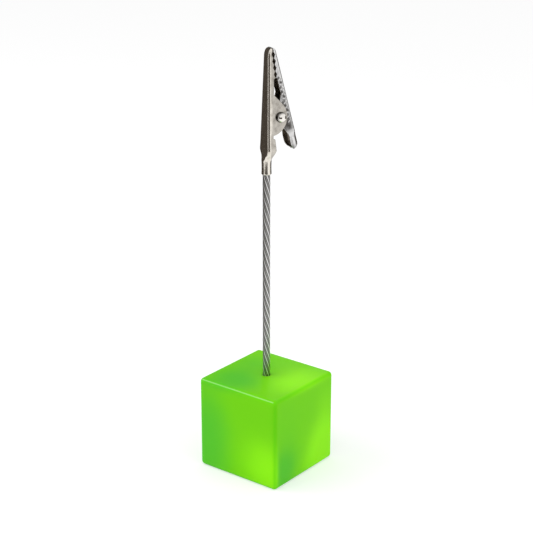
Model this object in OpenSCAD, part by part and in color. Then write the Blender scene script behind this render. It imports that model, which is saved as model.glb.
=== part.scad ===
// Photo clip holder: a resin cube, a stiff wire-rope stem and a sprung, toothed clip at its top.
// Origin at the middle of the cube's underside, +Z up, the cube's faces along X and Y.

/* [Base] */
// Edge length of the resin cube
cube_size = 25.4; // [20:0.2:40]
// Rounding along the cube's edges
edge_r = 0.7; // [0.3:0.1:2.5]
// Depth of the blind hole that holds the stem
bore_depth = 12; // [8:0.5:16]

/* [Stem] */
// Diameter of the wire rope
rope_d = 2; // [1.6:0.05:2.4]
// Free length of the stem between the cube and the clip
stem_len = 55.4; // [30:0.2:90]
// Length along the stem in which a wire goes round once
lay_len = 17; // [12:0.5:24]
// Gap between neighbouring wires
wire_gap = 0.03; // [0.02:0.005:0.06]
// Gap between the rope and the holes that hold it, all round
rope_fit = 0.03; // [0.02:0.005:0.08]

/* [Clip] */
// Turn of the clip about the stem
clip_turn = -23; // [-180:1:180]
// Thickness of the clip's sheet metal
sheet_t = 0.28; // [0.2:0.02:0.36]
// Distance from the stem's axis to the rivet's axis
pivot_off = 3; // [2.4:0.1:3.6]
// Height of the rivet's axis above the clip's lower end
pivot_rise = 14.8; // [13.6:0.1:18]
// Angle between the two backs with the jaws closed
jaw_angle = 16.4; // [15:0.2:17]
// Lean of the fixed jaw's back from the stem
jaw_lean = 1.4; // [0:0.1:3]
// Distance from the rivet's axis to the jaws' tips
jaw_reach = 17.3; // [15:0.1:17.6]
// Gap between the closed rows of teeth
bite_gap = 0.12; // [0.06:0.02:0.3]
// How far the bite lies off the middle of the jaws' angle, toward the moving jaw
bite_shift = 0.05; // [0:0.05:0.35]

/* [Teeth] */
// Number of notches in each row of teeth
tooth_count = 4; // [2:1:5]
// Distance from one tooth to the next
tooth_pitch = 1.65; // [1.4:0.05:1.8]
// Depth of the notches
tooth_depth = 0.38; // [0.2:0.02:0.4]
// Length of the flat bite at the tips
nose_len = 0.7; // [0.2:0.05:1.2]

/* [Fixed jaw] */
// Distance from the rivet's axis to the outer face of the back
fixed_back = 3.65; // [3.4:0.05:4]
// Outer rounding where the back turns over at the tip
fixed_tip_r = 1; // [0.6:0.05:1.2]
// Outer width at the rivet
fixed_w = 4; // [3.4:0.02:4.4]
// Outer width at the tip
fixed_tip_w = 2.6; // [2.2:0.02:3]
// Outer radius of the folds
fixed_bend_r = 0.75; // [0.5:0.05:0.9]
// Height of the side walls beside the window
fixed_wall = 1.7; // [1.5:0.05:2]
// Radius of the ear's arc
ear_r = 4.65; // [4.4:0.05:5]
// Distance from the rivet's axis to the ear's foremost edge
ear_nose = 1.9; // [1.8:0.05:2.3]
// Angle from straight ahead at which the ear's arc runs on as a straight edge
ear_slope = 45; // [38:1:48]
// Height above the rivet up to which both pairs of ears lie side by side
ear_overlap = 4; // [3.6:0.1:4.6]
// Height of the side walls below the ears
neck_wall = 2; // [1.7:0.05:2.3]
// Height of the flared wings at the lower end of the side walls
wing_wall = 2.45; // [2.35:0.05:2.8]
// Distance from the rivet's axis down to the flared wings' widest place
wall_drop = 8.5; // [7.8:0.1:9]
// How far each wing flares outward
wing_flare = 0.1; // [0.04:0.02:0.3]
// Length of the crimp barrel
barrel_len = 3.7; // [3:0.1:4.2]
// Depth of the crimp groove round the barrel
crimp_depth = 0.06; // [0.02:0.02:0.14]
// Width of the barrel's open seam
seam_w = 0.2; // [0.1:0.05:0.4]

/* [Moving jaw] */
// Distance from the rivet's axis to the outer face of the back
moving_back = 3.32; // [3.2:0.02:3.6]
// Outer rounding where the back turns over at the tip
moving_tip_r = 0.6; // [0.35:0.05:0.65]
// Side clearance between the moving jaw and the fixed jaw's ears
jaw_gap = 0.05; // [0.03:0.01:0.1]
// Outer radius of the folds
moving_bend_r = 0.5; // [0.4:0.05:0.7]
// Height of the side walls beside the window
moving_wall = 1.5; // [1:0.05:1.6]
// Radius of the inner ears round the rivet
moving_ear_r = 1.5; // [1.3:0.05:1.8]
// Height of the side walls of the thumb tail
tail_wall = 2.7; // [2:0.05:2.8]
// Outer width of the thumb tail's spoon
tail_w = 3.7; // [3.2:0.05:3.9]
// Outer radius of the spoon's folds
tail_bend_r = 1.4; // [0.6:0.05:1.5]
// Distance from the rivet's axis to the end of the thumb tail
tail_len = 10.1; // [9:0.1:10.4]
// Depth by which the side walls fall away at the end of the thumb tail
tail_r = 2.4; // [1.5:0.1:2.6]
// How many times longer than deep the walls' fall is
tail_fall = 1.9; // [1:0.1:2]
// Number of pressed grip marks on each side
grip_count = 10; // [0:1:10]
// Distance from one grip mark to the next
grip_pitch = 1.25; // [1:0.05:1.3]
// Depth of the grip marks
grip_depth = 0.08; // [0.04:0.02:0.12]

/* [Rivet and spring] */
// Diameter of the rivet's shank
rivet_d = 1.2; // [1:0.05:1.5]
// Diameter of the rivet's domed heads
head_d = 3; // [2.4:0.1:3.4]
// Height of the domed heads
head_h = 1.3; // [0.6:0.05:1.4]
// Radial gap round the shank in the fixed ears
seat_fit = 0.02; // [0.01:0.01:0.05]
// Radial gap round the shank in the moving ears
run_fit = 0.04; // [0.02:0.01:0.08]
// Thickness of the spring wire
spring_wire = 0.25; // [0.2:0.01:0.3]
// Gap between the shank and the spring's coil
coil_gap = 0.2; // [0.12:0.02:0.3]
// Whole turns of the coil, besides the part turn between its legs
coil_turns = 2; // [1:1:3]
// Gap between the spring and what it lies against
spring_gap = 0.05; // [0.03:0.01:0.1]

/* [Hidden] */
$fn = 48;
INNER = 6;
OUTER = 12;
function wire_name(kind, i, n) = str(kind, "_wire_", n > 9 && i < 10 ? "0" : "", i);

// Stem: the wires lie in rings of one wire pitch, two pitches and none
wire_pitch = rope_d / 5;
wire_r = (wire_pitch - wire_gap) / 2;
rope_hole_r = rope_d / 2 + rope_fit;
rope_z0 = cube_size - bore_depth;
clip_z = cube_size + stem_len;
rope_len = bore_depth + stem_len + barrel_len;
ring_step = 38;

// Clip, measured from the rivet's axis
pivot_z = clip_z + pivot_rise;
half_angle = jaw_angle / 2;
taper = atan((fixed_w - fixed_tip_w) / 2 / jaw_reach);
moving_w = fixed_w - 2 * (sheet_t + ear_overlap * tan(taper) + jaw_gap);
barrel_r = rope_hole_r + sheet_t;
barrel_top = barrel_len - pivot_rise;
window_top = jaw_reach - nose_len - tooth_count * tooth_pitch;
ear_back = ear_r - ear_nose;
neck_z = -0.75 * wall_drop;
moving_turn = jaw_angle - jaw_lean;
lip = sheet_t / 6;
flare_z = -ear_r;
spoon_z = flare_z - tail_w / 2;
tail_end_z = tail_w / 2 - tail_len;
cut = 3 * fixed_back;

// Spring: from the fixed jaw's leg over the top of the rivet to the moving jaw's leg
coil_r = rivet_d / 2 + coil_gap + spring_wire / 2;
coil_side = moving_w / 2 - sheet_t - spring_gap - spring_wire / 2;
leg_tilt = [22, 35];
coil_sweep = 180 - leg_tilt[0] - leg_tilt[1] + 360 * coil_turns;
coil_step = 30;
leg_seat = [fixed_back, moving_back] - [1, 1] * (sheet_t + spring_gap + spring_wire / 2);

// A closed tube through the rings of points given, each ring as long as the first
module skin(rings) {
    n = len(rings[0]);
    m = len(rings);
    sides = [
        for (i = [0:m - 2], j = [0:n - 1], k = [0, 1])
            let (a = i * n + j, b = i * n + (j + 1) % n)
                k == 0 ? [a, a + n, b] : [b, a + n, b + n]
    ];
    low = [for (j = [1:n - 2]) [0, j, j + 1]];
    high = [for (j = [1:n - 2]) [(m - 1) * n, (m - 1) * n + j + 1, (m - 1) * n + j]];
    polyhedron([for (r = rings) each r], concat(sides, low, high), convexity = 6);
}

// One wire of a layer: level cuts through a round wire that climbs on a helix, clockwise from above
module wire(layer_r, turn) {
    stretch = sqrt(1 + pow(2 * PI * layer_r / lay_len, 2));
    steps = ceil(rope_len / lay_len * 360 / ring_step);
    skin([
        for (i = [0:steps])
            let (z = rope_len * i / steps, a = turn - 360 * z / lay_len)
                [
                    for (s = [0:60:300])
                        let (u = layer_r + wire_r * cos(s), v = wire_r * stretch * sin(s))
                            [u * cos(a) - v * sin(a), u * sin(a) + v * cos(a), rope_z0 + z]
                ]
    ]);
}

module core_wire() {
    color("gray")
        translate([0, 0, rope_z0])
            cylinder(r = wire_r, h = rope_len);
}

module inner_wire(i) {
    color("gray")
        wire(wire_pitch, 360 * i / INNER);
}

module outer_wire(i) {
    color("darkgray")
        wire(2 * wire_pitch, 360 * i / OUTER);
}

module rounded_square(size, r) {
    square([size, size - 2 * r], center = true);
    square([size - 2 * r, size], center = true);
    for (x = [-1, 1], y = [-1, 1])
        translate([x, y] * (size / 2 - r))
            circle(r);
}

// The cube: its edges are rounded along all three directions
module base_cube() {
    color("yellowgreen")
        difference() {
            translate([0, 0, cube_size / 2])
                intersection() {
                    bar();
                    rotate([90, 0, 0])
                        bar();
                    rotate([0, 90, 0])
                        bar();
                }
            translate([0, 0, rope_z0])
                cylinder(r = rope_hole_r, h = 2 * bore_depth);
        }
}

module bar() {
    linear_extrude(cube_size, center = true)
        rounded_square(cube_size, edge_r);
}

module place_clip() {
    rotate([0, 0, clip_turn])
        translate([0, pivot_off, pivot_z])
            children();
}

// Half of a channel's cross-section as a filled corner: back along X, side wall along Y
module corner(half_w, r, x0) {
    translate([x0, 0])
        square([half_w - r - x0, cut]);
    translate([x0, r])
        square([half_w - x0, cut]);
    translate([half_w - r, r])
        circle(r);
}

// The same corner as folded sheet
module folded_corner(half_w, r, x0) {
    difference() {
        corner(half_w, r, x0);
        translate([0, sheet_t])
            corner(half_w - sheet_t, r - sheet_t, x0 - 1);
    }
}

// A side outline in the jaw's own plane, drawn through its width on one side
module through(w) {
    rotate([90, 0, 90])
        linear_extrude(w)
            children();
}

// Tips of the teeth lie beside the line that halves the jaws' angle
function bite(z, shift) = shift - z * tan(half_angle) - bite_gap / 2;

// The toothed edge from the tip down to the window
function tooth_edge(shift) = concat(
    [[bite(jaw_reach, shift), jaw_reach]],
    [
        for (i = [0:tooth_count - 1], k = [0, 1])
            let (z = jaw_reach - nose_len - (i + k / 2) * tooth_pitch)
                [bite(z, shift) - k * tooth_depth, z]
    ],
    [[bite(window_top, shift), window_top]]
);

// What a rounding takes off an outline's corner; side gives the two ways from the corner to the waste
module round_off(at, side, r, stretch = 1) {
    translate(at)
        mirror([side[0] < 0 ? 1 : 0, 0])
            mirror([0, side[1] < 0 ? 1 : 0])
                scale([1, stretch])
                    difference() {
                        translate([-r, -r])
                            square(2 * r);
                        translate([-r, -r])
                            circle(r);
                    }
}

// The part of an outline where the back turns over at the tip and closes it
module nose(back, r) {
    intersection() {
        children();
        difference() {
            translate([-back - 1, jaw_reach - r])
                square([back + 2, r + 1]);
            translate([r - back, jaw_reach - r])
                circle(r - sheet_t);
            translate([r - back, jaw_reach - r - 1])
                square([back + 2, r + 1 - sheet_t]);
        }
    }
}

module fixed_outline() {
    arc_end = [ear_r * cos(ear_slope) - ear_back, ear_r * sin(ear_slope)];
    run = (arc_end[0] + fixed_back - fixed_wall) / sin(ear_slope);
    window_low = arc_end[1] + run * cos(ear_slope);
    difference() {
        union() {
            polygon(concat(
                [[-fixed_back - 1, neck_z], [-fixed_back - 1, jaw_reach]],
                tooth_edge(bite_shift),
                [
                    [fixed_wall - fixed_back, window_top - 0.3],
                    [fixed_wall - fixed_back, window_low],
                    arc_end,
                    [-ear_back, 0],
                    [neck_wall - fixed_back, -ear_back],
                    [neck_wall - fixed_back, neck_z]
                ]
            ));
            translate([-ear_back, 0])
                circle(ear_r);
        }
        round_off([-fixed_back, jaw_reach], [-1, 1], fixed_tip_r);
    }
}

// One side of the fixed channel, turned in so that the jaw narrows to its tip
module fixed_side() {
    rotate([0, -taper, 0])
        translate([0, -fixed_back, -2 * wall_drop])
            linear_extrude(2 * (wall_drop + jaw_reach))
                children();
}

module fixed_half() {
    intersection() {
        fixed_side()
            folded_corner(fixed_w / 2, fixed_bend_r, -2);
        through(fixed_w)
            fixed_outline();
    }
    intersection() {
        fixed_side()
            corner(fixed_w / 2, fixed_bend_r, -2);
        through(fixed_w)
            nose(fixed_back, fixed_tip_r)
                fixed_outline();
    }
}

// A level slice of the neck below the channel, drawn in by a given depth
module neck_slice(z, wider, inset, h) {
    w = fixed_w / 2 - z * tan(taper) + wider - inset;
    r = fixed_bend_r - inset;
    rotate([-jaw_lean, 0, 0])
        translate([0, inset - fixed_back, z])
            for (x = [-1, 1], y = [r, wing_wall])
                translate([x * (w - r), y, 0])
                    cylinder(r = r, h = h);
}

// The neck's form, drawn in by a given depth: out to the wings, then in to the barrel
module neck_form(inset, more) {
    hull() {
        neck_slice(neck_z, 0, inset, 0.2 + more);
        neck_slice(-wall_drop, wing_flare, inset, 0.01);
    }
    hull() {
        neck_slice(-wall_drop, wing_flare, inset, 0.01);
        translate([0, -pivot_off, barrel_top - 0.3 - more])
            cylinder(r = barrel_r - inset, h = 0.3);
    }
}

module neck() {
    difference() {
        neck_form(lip, 0);
        neck_form(sheet_t - lip, 0.2);
        rotate([-jaw_lean, 0, 0])
            translate([-cut, 0, 0])
                through(2 * cut)
                    polygon([
                        [neck_wall - fixed_back - lip, 0],
                        [neck_wall - fixed_back - lip, neck_z],
                        [wing_wall - fixed_back - lip, -wall_drop],
                        [barrel_r / 2 - pivot_off, barrel_top],
                        [cut, barrel_top - 1],
                        [cut, 0]
                    ]);
    }
}

module barrel() {
    groove_r = barrel_len;
    translate([0, -pivot_off, -pivot_rise])
        difference() {
            cylinder(r = barrel_r, h = barrel_len);
            translate([0, 0, -1])
                cylinder(r = rope_hole_r, h = barrel_len + 2);
            translate([-seam_w / 2, 0, -1])
                cube([seam_w, cut, barrel_len + 2]);
            translate([0, 0, barrel_len / 2])
                rotate_extrude()
                    translate([barrel_r + groove_r - crimp_depth, 0])
                        circle(groove_r);
        }
}

module rivet_hole(gap) {
    rotate([0, 90, 0])
        cylinder(r = rivet_d / 2 + gap, h = 2 * fixed_w, center = true);
}

module fixed_jaw() {
    color("silver")
        place_clip()
            difference() {
                union() {
                    rotate([-jaw_lean, 0, 0]) {
                        fixed_half();
                        mirror([1, 0, 0])
                            fixed_half();
                    }
                    neck();
                    barrel();
                }
                rivet_hole(seat_fit);
            }
}

module moving_outline() {
    ear_in = moving_ear_r / 2;
    difference() {
        union() {
            polygon(concat(
                [[-moving_back - 1, -tail_len], [-moving_back - 1, jaw_reach]],
                tooth_edge(-bite_shift),
                [
                    [moving_wall - moving_back, window_top - 0.3],
                    [moving_wall - moving_back, ear_overlap + moving_wall],
                    [ear_in, ear_in],
                    [ear_in, -ear_in],
                    [tail_wall - moving_back, -tail_len / 2],
                    [tail_wall - moving_back, -tail_len]
                ]
            ));
            circle(moving_ear_r);
        }
        round_off([tail_wall - moving_back, -tail_len], [1, -1], tail_r, tail_fall);
        round_off([-moving_back, jaw_reach], [-1, 1], moving_tip_r);
    }
}

// Pressed marks on the side walls, along the folds
module grip_marks() {
    for (side = [-1, 1], i = [0:1:grip_count - 1])
        translate([
            side * moving_w / 2,
            moving_bend_r + 0.4 - moving_back,
            window_top - 0.9 - i * grip_pitch
        ])
            cube([2 * grip_depth, 0.6, 0.5], center = true);
}

// Both sides of a channel's cross-section, filled
module channel(half_w, r) {
    for (side = [0, 1])
        mirror([side, 0])
            corner(half_w, r, -r / 2);
}

// The thumb tail's form, drawn in by one depth at its root and another at its spoon with the round end
module tail_form(root, inset, more) {
    w = tail_w / 2 - inset;
    r = tail_bend_r - inset;
    hull() {
        translate([0, root - moving_back, flare_z + sheet_t])
            linear_extrude(0.01 + more)
                channel(moving_w / 2 - root, moving_bend_r - root);
        translate([0, inset - moving_back, spoon_z])
            linear_extrude(0.01)
                channel(w, r);
    }
    translate([0, inset - moving_back, tail_end_z]) {
        linear_extrude(spoon_z - tail_end_z)
            channel(w, r);
        rotate([-90, 0, 0])
            rotate_extrude(angle = 180)
                intersection() {
                    corner(w, r, 0);
                    square([tail_w, cut / 2]);
                }
    }
}

// The tail's root lies within the thickness of the channel's sheet
module tail() {
    intersection() {
        difference() {
            tail_form(lip, 0, 0);
            tail_form(sheet_t - lip, sheet_t, 1);
        }
        translate([-tail_w / 2, 0, 0])
            through(tail_w)
                moving_outline();
    }
}

module moving_half() {
    intersection() {
        translate([0, -moving_back, flare_z])
            linear_extrude(2 * jaw_reach)
                folded_corner(moving_w / 2, moving_bend_r, 0);
        through(moving_w)
            moving_outline();
    }
    intersection() {
        translate([0, -moving_back, 0])
            linear_extrude(2 * jaw_reach)
                corner(moving_w / 2, moving_bend_r, 0);
        through(moving_w)
            nose(moving_back, moving_tip_r)
                moving_outline();
    }
}

module moving_body() {
    difference() {
        union() {
            moving_half();
            mirror([1, 0, 0])
                moving_half();
            tail();
        }
        rivet_hole(run_fit);
        grip_marks();
    }
}

module moving_jaw() {
    color("gainsboro")
        place_clip()
            rotate([moving_turn, 0, 0])
                mirror([0, 1, 0])
                    moving_body();
}

// Each head is a cap of a sphere; the heads sit on the ears where the jaw is widest under them
module pivot_rivet() {
    seat = fixed_w / 2 / cos(taper) + head_d / 2 * tan(taper) + seat_fit;
    ball_r = (pow(head_d / 2, 2) + pow(head_h, 2)) / (2 * head_h);
    color("whitesmoke")
        place_clip()
            rotate([0, 90, 0]) {
                cylinder(d = rivet_d, h = 2 * seat + head_h, center = true);
                for (side = [0, 1])
                    mirror([0, 0, side])
                        intersection() {
                            translate([0, 0, seat + head_h - ball_r])
                                sphere(ball_r);
                            translate([0, 0, seat])
                                cylinder(d = 2 * head_d, h = 2 * head_h);
                        }
            }
}

// The spring's path: leg on the fixed jaw, coil, leg on the moving jaw
function leg_dir(k) = [(k == 0 ? -1 : 1) * sin(leg_tilt[k]), -cos(leg_tilt[k])];
function face_dir(k) = k == 0 ? [-cos(jaw_lean), sin(jaw_lean)] : [cos(moving_turn), sin(moving_turn)];
function coil_point(a) = coil_r * [cos(a), sin(a)];
function leg_len(k, p) = (leg_seat[k] - p * face_dir(k)) / (leg_dir(k) * face_dir(k));
function coil_path() =
    let (
        n = ceil(coil_sweep / coil_step),
        a0 = 180 - leg_tilt[0],
        p0 = coil_point(a0),
        p1 = coil_point(a0 - coil_sweep),
        e0 = p0 + leg_len(0, p0) * leg_dir(0),
        e1 = p1 + leg_len(1, p1) * leg_dir(1)
    )
        concat(
            [[-coil_side, e0[0], e0[1]], [-coil_side, (e0[0] + p0[0]) / 2, (e0[1] + p0[1]) / 2]],
            [
                for (i = [0:n])
                    let (p = coil_point(a0 - coil_sweep * i / n))
                        [coil_side * (2 * i / n - 1), p[0], p[1]]
            ],
            [[coil_side, (e1[0] + p1[0]) / 2, (e1[1] + p1[1]) / 2], [coil_side, e1[0], e1[1]]]
        );

function unit(v) = v / norm(v);
function tube_ring(path, i) =
    let (
        last = len(path) - 1,
        t = unit(path[min(i + 1, last)] - path[max(i - 1, 0)]),
        u = unit([1, 0, 0] - t[0] * t),
        v = cross(t, u)
    )
        [for (s = [0:60:300]) path[i] + spring_wire / 2 * (cos(s) * u + sin(s) * v)];

// Least gap of the spring to itself, measured between points a turn or more apart
spring_path = coil_path();
spring_self = min([
    for (i = [0:len(spring_path) - 1], j = [0:1:i - 7]) norm(spring_path[i] - spring_path[j])
]) - spring_wire;
echo(spring_least_gap = spring_self);

module torsion_spring() {
    color("slategray")
        place_clip()
            skin([for (i = [0:len(spring_path) - 1]) tube_ring(spring_path, i)]);
}

base_cube();
core_wire();
for (i = [1:INNER])
    inner_wire(i);
for (i = [1:OUTER])
    outer_wire(i);
fixed_jaw();
moving_jaw();
pivot_rivet();
torsion_spring();
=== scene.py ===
"""Looks of the photo clip holder: a frosted resin cube, a wire-rope stem and a sprung, toothed clip.

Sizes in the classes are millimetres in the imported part's own frame; meshes are written in metres.
"""

import logging
import math
from dataclasses import dataclass
from enum import Enum

import bmesh
import bpy
import numpy as np
from mathutils import Matrix

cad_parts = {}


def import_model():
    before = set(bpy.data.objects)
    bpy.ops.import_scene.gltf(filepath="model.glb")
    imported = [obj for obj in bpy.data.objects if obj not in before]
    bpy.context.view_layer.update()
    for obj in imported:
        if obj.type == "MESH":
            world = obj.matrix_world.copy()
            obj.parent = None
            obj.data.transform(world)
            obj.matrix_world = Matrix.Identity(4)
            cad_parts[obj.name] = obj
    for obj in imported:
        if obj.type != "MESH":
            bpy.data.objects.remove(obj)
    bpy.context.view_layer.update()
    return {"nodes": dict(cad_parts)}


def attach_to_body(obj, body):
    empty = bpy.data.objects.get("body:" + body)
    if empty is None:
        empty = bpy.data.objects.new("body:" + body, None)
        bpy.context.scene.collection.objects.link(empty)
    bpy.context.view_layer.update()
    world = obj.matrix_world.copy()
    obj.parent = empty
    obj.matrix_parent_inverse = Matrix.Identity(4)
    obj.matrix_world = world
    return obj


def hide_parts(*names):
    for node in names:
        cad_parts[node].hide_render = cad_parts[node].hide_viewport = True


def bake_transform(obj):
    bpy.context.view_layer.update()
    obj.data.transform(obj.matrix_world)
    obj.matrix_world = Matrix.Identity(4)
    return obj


LOG = logging.getLogger("photo_clip_holder")
MM = 0.001
# Points closer than WELD millimetres become one. SHEET is the thickness of the clip's plated sheet.
WELD = 0.0004
SHEET = 0.28


class Body(Enum):
    """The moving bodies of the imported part."""

    STAND = "stand"
    MOVING_JAW = "moving_jaw"


class Slot(Enum):
    """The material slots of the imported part."""

    RESIN = "resin"
    ROPE = "rope_wire"
    SHEET = "clip_sheet"
    RIVET = "rivet"
    SPRING = "spring_wire"


# Shader graphs


class Signal:
    """A shader socket that takes part in Python arithmetic; every operation adds one Math node."""

    def __init__(self, graph: "Graph", socket: bpy.types.NodeSocket) -> None:
        """Keep the graph and the output socket."""
        self.graph = graph
        self.socket = socket

    def _math(self, operation: str, first: "Signal | float", second: "Signal | float" = 0.0) -> "Signal":
        """Add a Math node with the operation on the two values."""
        return self.graph.add("ShaderNodeMath", {"operation": operation}, {0: first, 1: second})

    def __add__(self, other: "Signal | float") -> "Signal":
        """Sum of the two values."""
        return self._math("ADD", self, other)

    def __radd__(self, other: float) -> "Signal":
        """Sum of the two values."""
        return self._math("ADD", other, self)

    def __sub__(self, other: "Signal | float") -> "Signal":
        """This value less the other."""
        return self._math("SUBTRACT", self, other)

    def __rsub__(self, other: float) -> "Signal":
        """The other value less this one."""
        return self._math("SUBTRACT", other, self)

    def __mul__(self, other: "Signal | float") -> "Signal":
        """Product of the two values."""
        return self._math("MULTIPLY", self, other)

    def __rmul__(self, other: float) -> "Signal":
        """Product of the two values."""
        return self._math("MULTIPLY", other, self)

    def exp(self) -> "Signal":
        """Natural exponential of this value."""
        return self._math("EXPONENT", self)

    def ramp(self, low: float, high: float) -> "Signal":
        """Smooth step from 0 at low to 1 at high."""
        inputs = {"Value": self, "From Min": low, "From Max": high}
        return self.graph.add("ShaderNodeMapRange", {"interpolation_type": "SMOOTHSTEP"}, inputs)


class Graph:
    """The node tree of one material or world, with one way to add a node."""

    def __init__(self, owner: bpy.types.Material | bpy.types.World) -> None:
        """Switch the owner to nodes and empty its tree.

        Args:
            owner: The material or world.
        """
        owner.use_nodes = True
        self.tree = owner.node_tree
        self.tree.nodes.clear()

    def add(self, kind: str, settings: dict, inputs: dict, output: int | str = 0) -> Signal | None:
        """Add a node, set it and link it.

        Args:
            kind: Blender's name of the node type.
            settings: The node's own properties, set first.
            inputs: Values or signals by socket name or number.
            output: The output socket wanted.

        Returns:
            The wanted output as a signal, or None for a node without outputs.
        """
        node = self.tree.nodes.new(kind)
        for name, value in settings.items():
            setattr(node, name, value)
        for name, value in inputs.items():
            if isinstance(value, Signal):
                self.tree.links.new(value.socket, node.inputs[name])
            else:
                node.inputs[name].default_value = value
        return Signal(self, node.outputs[output]) if len(node.outputs) else None

    def place(self) -> Signal:
        """Object coordinates in millimetres."""
        spot = self.add("ShaderNodeTexCoord", {}, {}, "Object")
        return self.vector("SCALE", spot, {"Scale": 1 / MM})

    def vector(self, operation: str, first: Signal, more: dict, output: int = 0) -> Signal:
        """Add a Vector Math node on a vector and more inputs; output 0 is its vector, 1 its number."""
        return self.add("ShaderNodeVectorMath", {"operation": operation}, {0: first, **more}, output)

    def mix(self, share: Signal | float, first: Signal | tuple, second: Signal | tuple) -> Signal:
        """Mix two colours: a share of 0 gives the first, 1 the second."""
        return self.add("ShaderNodeMix", {"data_type": "RGBA"}, {0: share, 6: first, 7: second}, 2)

    def noise(self, spot: Signal, per_mm: tuple, detail: float = 2.0) -> Signal:
        """Noise about 0.5, with its own waves per millimetre along X, Y and Z and octaves of detail."""
        stretched = self.vector("MULTIPLY", spot, {1: per_mm})
        return self.add("ShaderNodeTexNoise", {}, {"Vector": stretched, "Scale": 1.0, "Detail": detail})

    def soft_patch(self, spot: Signal, centre: tuple, reach: tuple) -> Signal:
        """A soft round patch: exp of minus the squared distance, each axis measured in its own reach."""
        scaled = self.vector("DIVIDE", self.vector("SUBTRACT", spot, {1: centre}), {1: reach})
        return (-1.0 * self.vector("DOT_PRODUCT", scaled, {1: scaled}, 1)).exp()

    def mark(self, name: str) -> Signal:
        """A number stored on the mesh's points under the given name."""
        return self.add("ShaderNodeAttribute", {"attribute_name": name}, {}, "Fac")

    def bump(self, height: Signal, depth: float, strength: float) -> Signal:
        """A normal tilted by a height of about 0 to 1, whose depth is in millimetres."""
        inputs = {"Height": height, "Distance": depth * MM, "Strength": strength}
        return self.add("ShaderNodeBump", {}, inputs)

    def close(self, shader: Signal, kind: str = "ShaderNodeOutputMaterial") -> None:
        """Lead a shader to the output node of the given kind."""
        self.add(kind, {}, {"Surface": shader})

    def principled(self, inputs: dict, settings: dict | None = None) -> None:
        """Lead a Principled shader with the given inputs and settings to the material's output."""
        self.close(self.add("ShaderNodeBsdfPrincipled", settings or {}, inputs))


def linear(red: int, green: int, blue: int) -> tuple[float, float, float, float]:
    """Scene-linear colour, with full opacity, of a screen colour with values from 0 to 255.

    Args:
        red: Screen value.
        green: Screen value.
        blue: Screen value.

    Returns:
        The colour.
    """
    screen = np.array([red, green, blue]) / 255
    parts = np.where(screen <= 0.04045, screen / 12.92, ((screen + 0.055) / 1.055) ** 2.4)
    return (*(float(v) for v in parts), 1.0)


# Finishes


@dataclass(frozen=True)
class PaintedLightPatch:
    """One soft patch of painted glow or painted shade in the resin."""

    centre: tuple[float, float, float]
    reach: tuple[float, float, float]
    amount: float


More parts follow.
